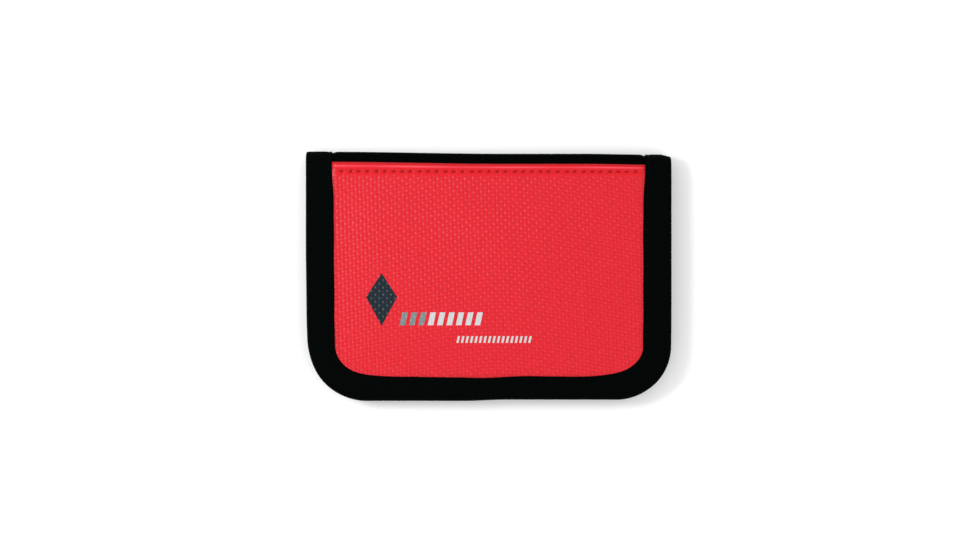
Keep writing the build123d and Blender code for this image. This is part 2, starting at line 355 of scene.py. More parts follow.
def coated_cloth():
    """Coated weave: rounded floats that stand up out of gaps painted darker (painted shade), with pinhole
    glints.
    """
    n = Nodes("coated_weave_red")
    u, v, uv = n.uv()
    tilt = n.madd(v, 0.031, u)
    uu = n.madd(n.noise(uv, 1.7, 2), 0.045, tilt)
    vv = n.madd(n.noise(uv, 2.3, 2), 0.03, v)
    woven = n.weave(uu, vv, 1.33, 1.24, 0.42)
    flat = n.attribute("pressed")
    height = n.madd(n.math("SUBTRACT", 0.75, woven), flat, woven)
    broad = n.noise(uv, 0.55, 3)
    fine = n.noise(uv, 26, 2)
    blotch = n.noise(uv, 7.0, 2)
    lift = n.madd(n.math("SUBTRACT", blotch, 0.5), 0.6, height)
    # Painted shade: the weave's gaps are coloured darker than its floats; the blotch noise adds random tone.
    deep = n.ramp(lift, (0.0, (0.40, 0.001, 0.004)), (0.5, (0.65, 0.005, 0.016)), (1.0, (0.73, 0.015, 0.033)))
    patch = n.mix(n.times(broad, 0.3), deep, (0.54, 0.003, 0.012))
    patch = n.mix(n.times(flat, 1.1), patch, (0.62, 0.0006, 0.006))
    along = n.new("CombineXYZ")
    n.put(along.inputs[0], n.times(tilt, 6.5))
    n.put(along.inputs[1], n.times(v, 0.5))
    streak = n.times(n.noise(along.outputs[0], 1.0, 2), 0.42)
    patch = n.mix(streak, patch, (0.50, 0.0025, 0.010))
    # Painted shade from the shade attribute darkens the stitch holes, the seam, the fold and the edge along
    # the binding; a painted highlight lightens the hem's ridge.
    painted_shade_and_highlight = n.attribute()
    painted_shade_colour = n.mix(n.math("MAXIMUM", painted_shade_and_highlight, 0.0), patch, (0.24, 0.0002, 0.002))
    painted_highlight_share = n.times(n.math("MINIMUM", painted_shade_and_highlight, 0.0), -0.55)
    colour = n.mix(painted_highlight_share, painted_shade_colour, (0.86, 0.12, 0.17))
    rough = n.madd(fine, 0.2, 0.26)
    skin = n.bump(fine, 0.02, 0.5)
    uneven = n.madd(blotch, 0.5, 0.55)
    normal = n.bump(n.times(height, uneven), 0.22, 1.0, skin)
    return n.finish(colour, rough, normal, Specular_IOR_Level=0.25)


def ribbed_tape():
    n = Nodes("ribbed_tape_black")
    u, v, uv = n.uv()
    threads = n.math("ABSOLUTE", n.math("SINE", n.times(v, 10 * math.pi / 0.42)))
    half = n.times(u, 10 * math.pi / RIB)
    rib = n.math("ABSOLUTE", n.math("SINE", half))
    height = n.madd(threads, 0.25, rib)
    fuzz = n.noise(uv, 30, 3)
    lift = n.madd(fuzz, 0.35, height)
    # Painted shade: the grooves between ribs and threads are coloured darker than the ribs; the fuzz noise
    # adds random tone.
    tone = n.ramp(lift, (0.2, (0.0001, 0.0003, 0.0002)), (1.2, (0.0007, 0.0016, 0.0014)))
    wear_and_painted_light = n.noise(uv, 0.9, 3)
    colour = n.mix(n.times(wear_and_painted_light, 0.4), tone, (0.0003, 0.0008, 0.0007))
    rough = n.madd(fuzz, 0.18, 0.58)
    return n.finish(colour, rough, n.bump(lift, 0.07), Specular_IOR_Level=0.012)


def woven_black(name, warp, weft, low, high, rough=0.7, depth=0.06, shine=0.12):
    n = Nodes(name)
    u, v, uv = n.uv()
    height = n.weave(u, v, warp, weft, 0.5)
    fuzz = n.noise(uv, 22, 3)
    lift = n.madd(fuzz, 0.3, height)
    # Painted shade: the weave's gaps are coloured darker than its crossings; the fuzz noise adds random tone.
    tone = n.ramp(lift, (0.1, low), (1.1, high))
    broad = n.noise(uv, 0.8, 3)
    colour = n.mix(n.times(broad, 0.35), tone, low)
    r = n.madd(fuzz, 0.14, rough - 0.07)
    return n.finish(colour, r, n.bump(lift, depth), Specular_IOR_Level=shine)


def pile_cloth(name, low, high, scale, depth):
    n = Nodes(name)
    uv = n.uv()[2]
    curl = n.noise(uv, scale, 4, 0.65)
    clump = n.noise(uv, scale * 0.22, 2)
    lift = n.madd(clump, 0.6, curl)
    tone = n.ramp(lift, (0.45, low), (1.15, high))
    sheen = {"Sheen_Weight": 0.03, "Sheen_Roughness": 0.6}
    return n.finish(tone, 0.88, n.bump(lift, depth), Specular_IOR_Level=0.05, **sheen)


def thread_material(name, low, high, shine):
    n = Nodes(name)
    where = n.spot()
    w = n.new("TexWave")
    w.inputs["Scale"].default_value = 900
    w.inputs["Distortion"].default_value = 1.5
    w.bands_direction = "DIAGONAL"
    n.put(w.inputs["Vector"], where)
    tone = n.ramp(w.outputs["Fac"], (0.0, low), (1.0, high))
    return n.finish(tone, 0.55, n.bump(w.outputs["Fac"], 0.04), Specular_IOR_Level=shine)


def print_ink(name, low, high, rough):
    """Ink on the coated weave. The weave's high points take a lighter colour: a painted highlight."""
    n = Nodes(name)
    u, v, uv = n.uv()
    height = n.weave(u, v, 1.33, 1.24, 0.32)
    fine = n.noise(uv, 18, 3)
    lift = n.math("SUBTRACT", n.madd(fine, 0.3, height), 0.3)
    # Painted highlight: the ink turns lighter on the weave's high points.
    tone = n.ramp(lift, (0.3, low), (0.66, low), (0.92, high))
    return n.finish(tone, rough, n.bump(height, 0.16), Specular_IOR_Level=0.2)


def clear_vinyl():
    n = Nodes("clear_vinyl")
    uv = n.uv()[2]
    ripple = n.noise(uv, 1.1, 2)
    haze = n.madd(n.noise(uv, 5, 3), 0.12, 0.04)
    colour = n.ramp(ripple, (0.2, (0.90, 0.93, 0.94)), (0.9, (0.97, 0.98, 0.98)))
    return n.finish(colour, haze, n.bump(ripple, 0.5, 0.6), Transmission_Weight=1.0, IOR=1.45)


def brushed_metal():
    n = Nodes("nickel_plate")
    where = n.spot()
    stretch = n.new("Mapping")
    stretch.inputs["Scale"].default_value = (300, 4000, 4000)
    n.put(stretch.inputs["Vector"], where)
    grain = n.noise(stretch.outputs[0], 1.0, 3)
    tone = n.ramp(grain, (0.3, (0.19, 0.19, 0.195)), (0.8, (0.30, 0.30, 0.305)))
    rough = n.madd(grain, 0.16, 0.24)
    return n.finish(tone, rough, n.bump(grain, 0.01, 0.4), Metallic=1.0)


def coil_plastic():
    n = Nodes("coil_black")
    where = n.spot()
    grain = n.noise(where, 1800, 2)
    tone = n.ramp(grain, (0.3, (0.006, 0.006, 0.007)), (0.8, (0.016, 0.016, 0.018)))
    rough = n.madd(grain, 0.15, 0.32)
    return n.finish(tone, rough, n.bump(grain, 0.01, 0.3), Specular_IOR_Level=0.5)


RED = coated_cloth()
RIBBED = ribbed_tape()
SHELL_CLOTH = woven_black(
    "base_cloth_black", 0.62, 0.5, (0.0001, 0.0003, 0.0002), (0.0010, 0.0018, 0.0015), shine=0.008
)
LINING_CLOTH = woven_black(
    "lining_black", 0.36, 0.36, (0.003, 0.0031, 0.0034), (0.013, 0.0135, 0.0145), 0.6, 0.04
)
POCKET_CLOTH = woven_black(
    "pocket_black", 0.5, 0.5, (0.004, 0.0042, 0.0046), (0.018, 0.0188, 0.020), 0.62, 0.05
)
ZIP_CLOTH = woven_black("zip_tape_black", 0.7, 0.35, (0.002, 0.0021, 0.0023), (0.009, 0.0094, 0.010))
HOOK_BASE = woven_black(
    "hook_base_black", 0.5, 0.4, (0.002, 0.0021, 0.0023), (0.008, 0.0084, 0.009), 0.6, 0.05
)
COIL = coil_plastic()  # of the zip's coil and of the closure's hooks
LOOPS = pile_cloth("loop_pile_black", (0.0016, 0.0017, 0.0018), (0.02, 0.021, 0.022), 9, 0.35)
# The red thread is coloured darker than the red cloth: painted shade of the sunk stitches and their holes.
RED_THREAD = thread_material("thread_red", (0.26, 0.0005, 0.003), (0.48, 0.002, 0.009), 0.08)
BLACK_THREAD = thread_material("thread_black", (0.0003, 0.0007, 0.0006), (0.0022, 0.0034, 0.0031), 0.02)
DARK_INK = print_ink("ink_dark", (0.0018, 0.0085, 0.015), (0.085, 0.16, 0.18), 0.5)
PALE_INK = print_ink("ink_pale", (0.50, 0.51, 0.51), (0.62, 0.63, 0.63), 0.45)
GREY_INK = print_ink("ink_grey", (0.15, 0.20, 0.20), (0.34, 0.40, 0.40), 0.42)
VINYL = clear_vinyl()
METAL = brushed_metal()

# --------------------
# Shared shapes


def outline_span(y, inset):
    """The leaf's left and right edge at y, set in from the outline."""
    ends = []
    for sign, radius in zip((-1, 1), CORNERS):
        cx, cy, r = sign * (HALF - radius), FREE_Y + radius, radius - inset
        drop = np.clip(cy - y, 0, r)
        ends.append(np.where(y > cy, sign * (HALF - inset), cx + sign * np.sqrt(r * r - drop * drop)))
    return ends


def leaf_rows(low, high, n):
    """Rows of y from the free edge up, closer together round the corners."""
    t = np.linspace(0, 1, n)
    return low + (high - low) * (0.55 * t + 0.45 * t * t)


def spread(left, right, n):
    """n columns between two edges that vary from row to row."""
    t = np.linspace(0, 1, n)[:, None]
    return left[None, :] * (1 - t) + right[None, :] * t


def across(x):
    """1 at the wallet's middle line, falling to 0 at its sides."""
    return np.cos(np.clip(x / 54, -1, 1) * math.pi / 2)


def leaf_sheet(name, leaf, level, thick, columns, material, right, bulge=0.0):
    """A layer of cloth over a leaf, from the free edge to the spine and round its half of it,
    where it can bulge outwards between the bindings."""
    ys = leaf_rows(FREE_Y + CLOTH_TUCK, SPINE_Y, 46)
    a, b = outline_span(ys, CLOTH_TUCK)
    x = spread(a, np.minimum(b, right), columns)
    outer, inner = place(leaf, x, ys, level), place(leaf, x, ys, level + thick)
    angles = np.linspace(math.pi / 2, 0, 17)[None, 1:]
    xe = np.repeat(x[:, -1:], 16, 1)
    lifted = level - bulge * smooth(1.35, 0.5, angles) * smooth(IN_X + 0.5, IN_X - 0.9, np.abs(xe))
    outer = np.concatenate([outer, round_spine(leaf, xe, lifted, angles)], 1)
    inner = np.concatenate([inner, round_spine(leaf, xe, lifted + thick, angles)], 1)
    return slab(name, outer, inner, material, panel_uv(outer), sharp=42)


def stitch(centre, along, up, length=2.3, width=0.46, height=0.13, sink=0.2):
    """One lockstitch: a short thread that dips into its two holes."""
    along = along / np.linalg.norm(along)
    up = up - along * (up @ along)
    up = up / np.linalg.norm(up)
    side = np.cross(along, up)
    ts = np.array([-1.0, -0.9, -0.62, -0.2, 0.2, 0.62, 0.9, 1.0])
    lift = height * (1 - np.abs(ts) ** 3) - sink * np.abs(ts) ** 6
    size = 0.5 * width * np.array([0.45, 0.78, 1.0, 1.04, 1.04, 1.0, 0.78, 0.45])
    ring = np.linspace(0, 2 * math.pi, 8, endpoint=False)
    return (
        centre
        + along * (ts * length / 2)[:, None, None]
        + up * (lift[:, None] + size[:, None] * 0.8 * np.sin(ring))[..., None]
        + side * (size[:, None] * np.cos(ring))[..., None]
    )


def stitch_row(name, stitches, material, **size):
    """stitches: (centre, along, up) for each."""
    return joined(name, [tube(stitch(*s, **size)) for s in stitches], material, 180)


def away(leaf, outer):
    """The direction that a leaf's outer or inner face looks in."""
    return np.array([0, 0, 1.0 if (leaf == "front") == outer else -1.0])


def sewn(leaf, x, y, level, dx=0.5, dy=0.0):
    """A stitch on a leaf's inner face, along (dx, dy)."""
    p = place(leaf, x, y, level)
    return p, place(leaf, x + dx, y + dy, level) - p, away(leaf, False)


# --------------------
# Outer panels: coated cloth with a rolled hem beside the spine

# The hem's stitches are not quite evenly spaced.
COUNT = np.arange(-17, 18)
SEWN = COUNT * STITCH + 0.16 * np.sin(COUNT * 2.3 + 0.5) + 0.09 * np.sin(COUNT * 5.1)
ROLL_Y = 37.7  # where the hem starts to roll over


def sewn_gap(x):
    """How far x is from the nearest hem stitch, and how hard that stitch was pulled."""
    gaps = np.abs(np.asarray(x, float)[..., None] - SEWN)
    return gaps.min(-1), 0.8 + 0.2 * np.sin(gaps.argmin(-1) * 1.9)


def panel_level(x, y):
    """The outer face of the coated panel. It sinks under the binding beside the spine."""
    under = smooth(52.4, 53.7, np.abs(x))
    inside = 1 - under
    crown = smooth(-3, 17, IN_X - np.abs(x)) * smooth(-3, 17, y - IN_Y) * smooth(-1, 10, SEAM_Y - y)
    level = 0.5 - 0.36 * crown
    level -= crown * 0.05 * np.sin(x / 9.1 + 1.3) * np.sin(y / 11.7 + 0.4)
    level -= crown * 0.03 * np.sin(x / 4.7 + y / 6.1)
    # The hem: a seam in a dent, a soft ridge beyond it, and the fold's edge.
    level -= 0.38 * inside * smooth(24.0, 35.0, y)
    level += 0.12 * inside * hill(y, SEAM_Y + 0.05, 0.8)
    level -= 0.13 * inside * hill(y, SPINE_Y - 1.3, 0.42)
    level += 0.10 * inside * smooth(SPINE_Y - 1.0, SPINE_Y - 0.5, y)
    near, pull = sewn_gap(x)
    level += 0.34 * inside * pull * np.exp(-((near / 0.6) ** 2)) * hill(y, SEAM_Y, 0.42)
    level += 0.03 * inside * hill(y, SEAM_Y - 0.6, 2.4) * np.cos(x / STITCH * 2 * math.pi)
    # Small puckers beside the binding.
    edge = np.minimum(IN_X - np.abs(x), y - IN_Y)
    level += 0.07 * hill(edge, 0.6, 1.4) * np.sin(x / 2.1 + y / 1.9)
    level += 0.58 * under * smooth(34.8, 38.2, y)
    return np.minimum(level, SHELL - 0.04)


def panel_shade(x, y):
    """Painted shade (up to 1) in the stitch holes, along the seam, on the fold's edge and along the binding;
    a painted highlight (down to -1) on the hem's ridge."""
    near, pull = sewn_gap(x)
    # Painted shade in the stitch holes and along the seam's groove.
    shade = pull * np.exp(-((near / 0.66) ** 2)) * hill(y, SEAM_Y, 0.5)
    shade += 0.06 * hill(y, SEAM_Y, 0.6)
    # Painted shade on the fold's edge, which turns away from the light.
    shade = np.maximum(shade, 0.5 * smooth(SPINE_Y - 1.0, SPINE_Y - 0.5, y))
    gap = np.minimum(IN_X - np.abs(x), y - IN_Y)
    # Painted shade where the panel goes under the binding.
    shade = np.maximum(shade, 0.3 * np.exp(-np.clip(gap, 0, 9) / 0.45))
    # A painted highlight along the hem's ridge.
    ridge_painted_highlight = hill(y, SPINE_Y - 1.35, 0.28) * (0.75 + 0.25 * np.sin(x / 5.3))
    return np.clip(shade, 0, 1) - ridge_painted_highlight


def panel_cover(leaf):
    ys = np.concatenate([
        np.linspace(FREE_Y + PANEL_TUCK, 30.4, 118),
        np.linspace(30.7, 34.6, 12),
        np.linspace(34.8, ROLL_Y, 16),
    ])
    x = spread(*outline_span(ys, PANEL_TUCK), 262)
    y = np.broadcast_to(ys, x.shape)
    level = panel_level(x, y)
    base = SHELL - 0.02
    outer = place(leaf, x, y, level)
    inner = place(leaf, x, y, np.maximum(level + 0.3, base))
    # The hem's fold: the cloth rolls over and goes back under itself.
    edge_x, edge = x[:, -1:], level[:, -1:]
    roll = np.linspace(0, math.pi, 11)[None, 1:]
    fold_y = ROLL_Y + (SPINE_Y - ROLL_Y - 0.05) * np.sin(roll) + 0 * edge_x
    fold_level = edge + (base - edge) / 2 * (1 - np.cos(roll))
    outer = np.concatenate([outer, place(leaf, edge_x, fold_y, fold_level)], 1)
    inner = np.concatenate([inner, place(leaf, edge_x, np.minimum(fold_y, ROLL_Y), base)], 1)
    all_x = np.concatenate([x, edge_x + 0 * fold_y], 1)
    all_y = np.concatenate([y, fold_y], 1)
    ob = slab(leaf + "_panel_cover", outer, inner, RED, panel_uv(outer), panel_shade(all_x, all_y))
    # How far the weave is pressed flat on the hem.
    even = smooth(SEAM_Y - 2.2, SEAM_Y - 0.6, all_y) * 0.8
    pressed = ob.data.attributes.new("pressed", "FLOAT", "POINT")
    pressed.data.foreach_set("value", np.concatenate([even.ravel()] * 2).astype(np.float32))
    follow(ob, leaf, leaf + "_panel")


def hem_stitches(leaf):
    rows = []
    for x in SEWN[np.abs(SEWN) <= IN_X - 0.6]:
        level = float(panel_level(x, SEAM_Y)) + 0.02
        a, centre, b = (place(leaf, x + dx, SEAM_Y, level) for dx in (-0.5, 0, 0.5))
        rows.append((centre, b - a, away(leaf, True)))
    follow(stitch_row(leaf + "_hem_stitches", rows, RED_THREAD), leaf, leaf + "_panel_thread")


# --------------------
# Edge binding: ribbed tape folded over the edges, from the spine round the leaf to the spine

QUARTER = math.pi / 2
TAPE_SEAM = 0.86  # the seam's place across the tape, from the rim (0) to the tape's edge (1)


def binding_path():
    """Stations along the binding: rim point, inner-edge point, angle round the spine (a quarter
    turn on the leaf itself), and the length so far."""
    step = RIB / 4
    stations = []
    round_fold = int(MID * QUARTER * 0.82 / step)
    for side, r, (rx, ry) in zip((-1, 1), CORNERS, INNER_CORNERS):
        rim_x, inner_x = side * HALF, side * IN_X
        half = [((rim_x, SPINE_Y), (inner_x, SPINE_Y), QUARTER * k / round_fold) for k in range(round_fold)]
        rim_end, inner_end = FREE_Y + r, IN_Y + ry
        straight = int((SPINE_Y - rim_end) / step)
        for k in range(straight):
            t = k / straight
            rim, inner = SPINE_Y + (rim_end - SPINE_Y) * t, SPINE_Y + (inner_end - SPINE_Y) * t
            half.append(((rim_x, rim), (inner_x, inner), QUARTER))
        corner = int((r + ry) / 2 * QUARTER * 1.08 / step)
        for k in range(corner):
            c, s = math.cos(QUARTER * k / corner), math.sin(QUARTER * k / corner)
            rim = (side * (HALF - r + r * c), rim_end - r * s)
            half.append((rim, (side * (IN_X - rx + rx * c), inner_end - ry * s), QUARTER))
        if side > 0:
            stations += reversed(half)
            continue
        stations += half
        low = int((2 * HALF - sum(CORNERS)) / step)
        x0, x1 = CORNERS[0] - HALF, HALF - CORNERS[1]
        q0, q1 = INNER_CORNERS[0][0] - IN_X, IN_X - INNER_CORNERS[1][0]
        for k in range(low):
            t = k / low
            stations.append(((x0 + (x1 - x0) * t, FREE_Y), (q0 + (q1 - q0) * t, IN_Y), QUARTER))
    rim, inner, angle = (np.array(part) for part in zip(*stations))
    on_fold = angle < QUARTER - 1e-9
    gaps = np.linalg.norm(np.diff((rim + inner) / 2, axis=0), axis=1)
    gaps = np.where(on_fold[:-1] | on_fold[1:], step, gaps)
    return rim, inner, angle, np.concatenate([[0], np.cumsum(gaps)])


def inner_edge_shift(x, y):
    """How far the tape's inner edge strays from its line, in millimetres towards the rim."""
    low = smooth(-24, -32, y)
    shift = 0.75 * hill(y, SPINE_Y, 9) * (1 - low)
    shift += low * (0.45 * hill(x, 1, 7) - 0.12 * np.sin(x / 6.5) - 0.55 * hill(np.abs(x), 41, 5.5))
    return shift + 0.05 * np.sin(y / 2.7) * (1 - low)


def binding_tape(leaf):
    rim, inner, angle, length = binding_path()
    face = BACK_FACE if leaf == "back" else FRONT_FACE
    on_leaf = angle > QUARTER - 1e-9
    y = rim[:, 1]
    # Levels of the tape's two faces along the path.
    towards = np.where(on_leaf, smooth(35.2, 38.6, y), 1.0)
    outer_face = 0.02 + 0.58 * towards
    thick_end = np.where(rim[:, 0] < 0, MID - 1.92, LINING + 0.5)

    def lies_at(x, y, near_spine, end):
        """The inner face: over the pockets, down to the lining beyond them, and down at the spine."""
        beyond = np.maximum(smooth(MOUTH_X + 0.8, MOUTH_X + 5.4, x), (x > 0) * smooth(-27, -20.5, y))
        flat = face * (1 - beyond) + (LINING + 0.5) * beyond
        return flat * (1 - near_spine) + end * near_spine

    inner_face = lies_at(rim[:, 0], y, towards, thick_end)
    # The profile: distances from the rim across the outer plate, round the rim and back.
    plate = np.array([1.0, 0.99, 0.965, 0.92, 0.885, TAPE_SEAM, 0.835, 0.79, 0.68, 0.52, 0.34])
    turn = np.linspace(0, math.pi, 10)[None, :]
    band = np.linalg.norm(rim - inner, axis=1)[:, None]
    half = (inner_face - outer_face)[:, None] / 2
    wide = np.minimum(half, 1.25)
    d_plate = plate * (band - wide) + wide
    # Dents: at the tape's edge, in the seam and each of its holes, and puckers round the corners.
    seam, edge = hill(plate, TAPE_SEAM, 0.035), smooth(0.955, 1.0, plate)
    along = length[:, None]
    hole = STITCH / 2 - np.abs((along / STITCH) % 1.0 - 0.5) * STITCH
    drop = 0.30 * edge * (1 - 0.7 * towards)[:, None] + 0.10 * seam - 0.05 * np.sin(plate * math.pi)
    drop = drop + 0.06 * seam * np.exp(-((hole / 0.45) ** 2))
    bend = on_leaf & (y < FREE_Y + 22) & (np.abs(rim[:, 0]) > HALF - 24)
    pucker = np.convolve(bend * 1.0, np.ones(33) / 33, "same")[:, None]
    drop = drop + pucker * 0.10 * smooth(0.55, 1.0, plate) * np.sin(along / 1.15) ** 2
    share = (d_plate / band)[:, ::-1, None]
    spot = rim[:, None, :] * (1 - share) + inner[:, None, :] * share
    under_level = lies_at(spot[..., 0], spot[..., 1], towards[:, None], thick_end[:, None]) - drop[:, ::-1]
    round_level = outer_face[:, None] + half * (1 - np.cos(turn))
    dist = np.concatenate([d_plate, wide * (1 - np.sin(turn)), d_plate[:, ::-1]], 1)
    level = np.concatenate([outer_face[:, None] + drop, round_level, under_level], 1)
    # Across the profile, into the tape.
    tang_d, tang_l = np.gradient(dist, axis=1), np.gradient(level, axis=1)
    size = np.sqrt(tang_d**2 + tang_l**2) + 1e-9
    nd, nl = tang_l / size, -tang_d / size
    centre = (outer_face + inner_face)[:, None] / 2
    inwards = np.where(nl * (centre - level) + nd * (wide - np.minimum(dist, wide)) > 0, 1, -1)
    nd, nl = nd * inwards, nl * inwards
    fade = smooth(1.0, 0.97, plate)
    fade = np.concatenate([fade, np.ones(turn.size), fade[::-1]])
    groove = (1 - np.abs(np.sin(math.pi * along / RIB)) ** 0.7) * 0.055 * fade

    def to_points(d, lv):
        share = (d / band * (1 - inner_edge_shift(*inner.T)[:, None] / band))[..., None]
        xy = rim[:, None, :] * (1 - share) + inner[:, None, :] * share
        flat = place(leaf, xy[..., 0], xy[..., 1], lv)
        bent = round_spine(leaf, xy[..., 0], lv, angle[:, None])
        return np.where(on_leaf[:, None, None], flat, bent)

    outer = to_points(dist + nd * groove, level + nl * groove)
    under = to_points(dist + nd * TAPE, level + nl * TAPE)
    run = np.sqrt(np.diff(dist, axis=1) ** 2 + np.diff(level, axis=1) ** 2)
    v = np.concatenate([0 * along, np.cumsum(run, 1)], 1)
    ob = slab(leaf + "_binding_tape", outer, under, RIBBED, np.stack([along + 0 * v, v], -1) / 10)
    fold_with_spine(ob, leaf, leaf + "_edge_binding", "spine_binding_left", "spine_binding_right")
    # The seam through both plates. It stops short of the fold's middle.
    column = int(np.argmin(np.abs(plate - TAPE_SEAM)))
    rows = []
    for k in range(int(length[-1] / STITCH)):
        i = int(np.searchsorted(length, (k + 0.5) * STITCH))
        if i < 6 or i > len(rim) - 7 or angle[i] < 0.95:
            continue
        radial = np.array([0, math.cos(angle[i]), away(leaf, True)[2] * math.sin(angle[i])])
        for col, facing in ((column, True), (outer.shape[1] - 1 - column, False)):
            tangent = outer[i + 4, col] - outer[i - 4, col]
            up = np.cross(tangent, outer[i, col + 2] - outer[i, col - 2])
            want = away(leaf, facing) if on_leaf[i] else radial * (1 if facing else -1)
            rows.append((outer[i, col], tangent, up if up @ want > 0 else -up))
    st = stitch_row(leaf + "_binding_stitches", rows, BLACK_THREAD, length=2.2, width=0.42, height=0.03)
    fold_with_spine(st, leaf, leaf + "_binding_thread")


# --------------------
# Body cloth and linings


def shell_cloth(leaf):
    name = leaf + "_shell_cloth"
    ob = leaf_sheet(name, leaf, SHELL + 0.01, 0.37, 120, SHELL_CLOTH, HALF, bulge=0.46)
    fold_with_spine(ob, leaf, leaf + "_shell", "spine_shell")


def lining_cloth(leaf, stack, tops_end):
    """The note compartment's inner wall, with its edge wrapped over what is sewn on it: stack is
    the level of that, up to y = tops_end."""
    base = leaf_sheet(leaf + "_lining_cloth", leaf, LINING + 0.01, 0.28, 110, LINING_CLOTH, MOUTH_X)
    fold_with_spine(base, leaf, leaf + "_lining", "spine_lining")

    def top(y):
        return stack + (LINING + 0.3 - stack) * smooth(tops_end, tops_end + 4.5, y)

    # The wrapped edge, from its cut edge over the faces and round the mouth's rim.
    seam_x = MOUTH_X - 4.9
    ys = np.linspace(IN_Y + 0.3, SPINE_Y - 0.2, 92)
    xs = MOUTH_X - np.array([6.4, 6.1, 5.2, 4.4, 3, 1.6, 0.9])[:, None]
    face_x = xs + 0.05 * np.sin(ys / 2.3) * np.linspace(1, 0, len(xs))[:, None]
    dip = 0.10 * hill(xs, seam_x, 0.5) + 0.12 * np.exp(-(xs - xs[0]) / 0.3)
    face_level = top(ys) + 0.28 - dip
    turn = np.linspace(0, math.pi, 9)[:-1, None]
    middle, half = (LINING + top(ys) + 0.28) / 2, (top(ys) + 0.28 - LINING) / 2

    def wrapped(rim_x, width, thick):
        x = np.concatenate([face_x, rim_x + width * np.sin(turn) + 0 * ys])
        level = np.concatenate([face_level - thick, middle + np.cos(turn) * (half - thick)])
        return place(leaf, x, ys, level)

    outer, inner = wrapped(MOUTH_X - 0.75, 0.75, 0.0), wrapped(MOUTH_X - 0.95, 0.7, 0.26)
    ob = slab(leaf + "_lining_edge", outer, inner, LINING_CLOTH)
    follow(ob, leaf, leaf + "_lining")
    along = np.arange(CLOSURE_Y + 2.4, SPINE_Y - 1.5, STITCH)
    rows = [sewn(leaf, seam_x, y, top(y) + 0.2, 0.0, 0.5) for y in along]
    st = stitch_row(leaf + "_lining_stitches", rows, BLACK_THREAD)
    follow(st, leaf, leaf + "_lining_thread")


# --------------------
# Inside of the back leaf: three pockets, one behind the other

SAG = 0.35  # how far a mouth's line drops at its middle


def mouth_sag(mouth, x, y):
    return SAG * smooth(mouth - 9, mouth, y) * across(x)


def wave(x, y):
    return 0.05 * np.sin(x / 7.3 + y / 5.9) * smooth(-20, 0, y)


def pocket(name, mouth, base, thick, material, node, hem=7.0, lip=1.0):
    """Makes a pocket, and gives its inner face's level: its hem's step, the seam, and a mouth
    that lifts a little."""

    def lifted(x, y):
        return 0.25 * lip * smooth(mouth - 9, mouth, y) * across(x) + wave(x, y)

    def face(x, y):
        step = smooth(mouth - hem - 0.5, mouth - hem + 0.6, y) * (thick if hem else 0.0)
        return base + thick + step - 0.1 * hill(y, mouth - 2.2, 0.5) + lifted(x, y)

    ys = np.concatenate([
        leaf_rows(FREE_Y + POCKET_TUCK, mouth - 8.5, 36),
        np.linspace(mouth - 8.2, mouth - 0.25, 26),
        [mouth - 0.08, mouth],
    ])
    a, b = outline_span(ys, POCKET_TUCK)
    x = spread(a, np.minimum(b, MOUTH_X - 0.45), 110)
    top = face(x, ys)
    top[:, -1] -= 0.12
    y = ys - mouth_sag(mouth, x, ys)
    outer, inner = place("back", x, y, top), place("back", x, y, base + 0.02 + lifted(x, ys))
    ob = slab(name, outer, inner, material, panel_uv(outer), sharp=50)
    follow(ob, "back", node)
    return face


def pocket_seam(face, mouth, below, lift=0.0):
    y, xs = mouth - below, np.arange(-IN_X + 1.2, MOUTH_X - 7.6, STITCH)
    return [sewn("back", x, y - mouth_sag(mouth, x, y), face(x, y) + lift) for x in xs]


def pockets():
    rear, middle, window = (
        box_mm(node)[1][1] for node in ("card_pocket_rear", "card_pocket_middle", "window_pocket")
    )
    face = pocket("rear_card_pocket", rear, POCKET, 0.28, POCKET_CLOTH, "card_pocket_rear")
    rows = pocket_seam(face, rear, 2.2)
    face = pocket("middle_card_pocket", middle, POCKET + 0.3, 0.28, POCKET_CLOTH, "card_pocket_middle")
    rows += pocket_seam(face, middle, 2.2)
    face = pocket("clear_window_pocket", window - 0.6, POCKET + 0.6, 0.22, VINYL, "window_pocket", 0, 0.6)
    # The window's ribbed trim, folded over its mouth.
    ys = np.array([-4.0, -3.9, -3.4, -2.2, -1.4, -0.6, -0.25, 0.0, -0.05]) + window
    up = np.array([0.12, 0.34, 0.46, 0.44, 0.46, 0.46, 0.4, 0.18, 0.0])
    x = spread(np.full(9, -IN_X + 0.1), np.full(9, MOUTH_X - 6.6), 500)
    sag = mouth_sag(window, x, ys)
    base = face(x, ys)
    rib = 0.05 * (1 - np.abs(np.sin(math.pi * x / RIB)) ** 0.7)
    outer = place("back", x, ys - sag, base + up - rib)
    inner = place("back", x, np.clip(ys, window - 3.9, window - 0.3) - sag, base)
    follow(slab("window_trim", outer, inner, RIBBED), "back", "window_pocket_trim")
    rows += pocket_seam(face, window, 2.0, 0.44)
    follow(stitch_row("card_pocket_stitches", rows, BLACK_THREAD), "back", "card_pocket_threads")


# --------------------
# Hook and loop closure


def hook_field(leaf, x0, x1, y0, y1, base, tall, rng):
    """Small plastic hooks in staggered rows, leaning left and right in turn."""
    parts = []
    ring = np.linspace(0, 2 * math.pi, 5, endpoint=False)
    t = np.linspace(0, 1, 7)[:, None]
    bend = t * math.pi * 0.72
    fat = 0.085 * (1 - 0.35 * t)
    for i, hx in enumerate(np.arange(x0 + 2.2, x1 - 2.0, 1.15)):
        for j, hy in enumerate(np.arange(y0 + 2.1, y1 - 1.9, 0.95)):
            px = hx + (0.55 if j % 2 else 0) + rng.normal(0, 0.05)
            py = hy + rng.normal(0, 0.04)
            lean = 1 if (i + j) % 2 else -1
            x = px + lean * 0.55 * (1 - np.cos(bend)) * 0.55 + fat * np.cos(ring)
            parts.append(tube(place(leaf, x, py + fat * np.sin(ring), base + tall * np.sin(bend))))
    return parts


